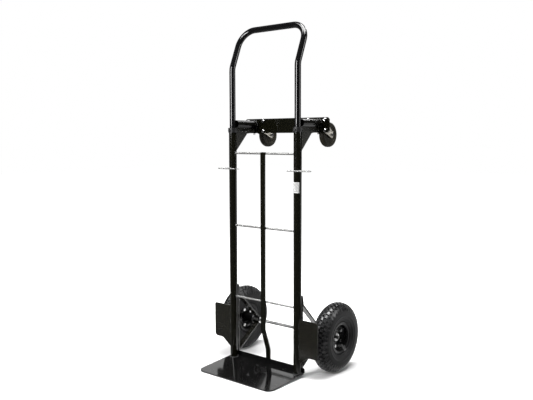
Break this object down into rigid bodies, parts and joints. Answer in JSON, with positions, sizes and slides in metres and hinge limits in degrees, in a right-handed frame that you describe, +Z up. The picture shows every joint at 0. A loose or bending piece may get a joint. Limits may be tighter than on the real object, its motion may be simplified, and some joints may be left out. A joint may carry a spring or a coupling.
{
  "type": "hand truck",
  "caption": "Convertible hand truck with a tilted toe plate, pneumatic wheels, a lift-out loop handle and swivel casters for cart use.",
  "frame": {"origin": "on the floor at the middle of the overall width and depth", "axes": "+Z up, -Y towards the load side and toe plate, +X towards the truck's right"},
  "size_m": [0.536, 0.4654, 1.3185],
  "materials": {
    "black_paint": "gloss black enamel",
    "zinc_rod": "bright zinc plated rod",
    "bare_steel": "bare turned steel",
    "zinc_fastener": "bright zinc plating",
    "black_plastic": "black moulded",
    "white_label": "blank white sticker",
    "spring_wire": "plated spring wire",
    "tyre_rubber": "dark grey tread rubber",
    "tube_rubber": "butyl rubber",
    "rim_paint": "gloss black pressed steel",
    "caster_zinc": "warm grey zinc",
    "caster_tread": "brown black moulded rubber"
  },
  "bodies": {
    "frame": {"left_rail": "black_paint", "right_rail": "black_paint", "top_rung": "zinc_rod", "middle_rung": "zinc_rod", "lower_rung": "zinc_rod", "centre_strut": "black_paint", "toe_plate": "black_paint", "left_wheel_guard": "black_paint", "right_wheel_guard": "black_paint", "left_axle_bracket": "black_paint", "right_axle_bracket": "black_paint", "left_gusset": "black_paint", "right_gusset": "black_paint", "left_handle_socket": "black_paint", "right_handle_socket": "black_paint", "caster_bar": "black_paint", "axle": "bare_steel", "left_rail_collar": "black_plastic", "right_rail_collar": "black_plastic", "collar_screws": "zinc_fastener", "axle_collars": "zinc_fastener", "wheel_washers": "zinc_fastener", "cotter_pins": "zinc_fastener", "caster_bolts": "zinc_fastener", "caster_nuts": "zinc_fastener", "blank_label": "white_label", "left_caster_plate": "caster_zinc", "left_caster_kingpin": "bare_steel", "left_caster_balls": "bare_steel", "right_caster_plate": "caster_zinc", "right_caster_kingpin": "bare_steel", "right_caster_balls": "bare_steel"},
    "handle": {"handle_loop": "black_paint"},
    "left_pin": {"left_lock_pin": "spring_wire"},
    "right_pin": {"right_lock_pin": "spring_wire"},
    "left_wheel": {"left_tyre": "tyre_rubber", "left_inner_tube": "tube_rubber", "left_outer_rim": "rim_paint", "left_inner_rim": "rim_paint", "left_hub": "rim_paint", "left_bearings": "bare_steel", "left_rim_bolts": "zinc_fastener"},
    "left_caster_swivel": {"left_caster_fork": "caster_zinc", "left_caster_bolt": "zinc_fastener"},
    "left_caster_roller": {"left_caster_wheel": "caster_tread", "left_caster_bush": "bare_steel"},
    "right_wheel": {"right_tyre": "tyre_rubber", "right_inner_tube": "tube_rubber", "right_outer_rim": "rim_paint", "right_inner_rim": "rim_paint", "right_hub": "rim_paint", "right_bearings": "bare_steel", "right_rim_bolts": "zinc_fastener"},
    "right_caster_swivel": {"right_caster_fork": "caster_zinc", "right_caster_bolt": "zinc_fastener"},
    "right_caster_roller": {"right_caster_wheel": "caster_tread", "right_caster_bush": "bare_steel"}
  },
  "joints": [
    {"name": "handle_lift", "type": "slide", "parent": "frame", "child": "handle", "axis": [0, 0, 1], "range_m": [0, 0.18]},
    {"name": "left_pin_pull", "type": "slide", "parent": "frame", "child": "left_pin", "axis": [-1, 0, 0], "range_m": [0, 0.075]},
    {"name": "right_pin_pull", "type": "slide", "parent": "frame", "child": "right_pin", "axis": [1, 0, 0], "range_m": [0, 0.075]},
    {"name": "left_wheel_spin", "type": "hinge", "parent": "frame", "child": "left_wheel", "pos_m": [-0.232, 0.09975, 0.133], "axis": [1, 0, 0], "continuous": true},
    {"name": "left_caster_turn", "type": "hinge", "parent": "frame", "child": "left_caster_swivel", "pos_m": [-0.15, 0.09975, 0.9388], "axis": [0, 1, 0], "continuous": true},
    {"name": "left_caster_roll", "type": "hinge", "parent": "left_caster_swivel", "child": "left_caster_roller", "pos_m": [-0.15, 0.16175, 0.9028], "axis": [1, 0, 0], "continuous": true},
    {"name": "right_wheel_spin", "type": "hinge", "parent": "frame", "child": "right_wheel", "pos_m": [0.232, 0.09975, 0.133], "axis": [1, 0, 0], "continuous": true},
    {"name": "right_caster_turn", "type": "hinge", "parent": "frame", "child": "right_caster_swivel", "pos_m": [0.15, 0.09975, 0.9388], "axis": [0, 1, 0], "continuous": true},
    {"name": "right_caster_roll", "type": "hinge", "parent": "right_caster_swivel", "child": "right_caster_roller", "pos_m": [0.15, 0.16175, 0.9028], "axis": [1, 0, 0], "continuous": true}
  ]
}
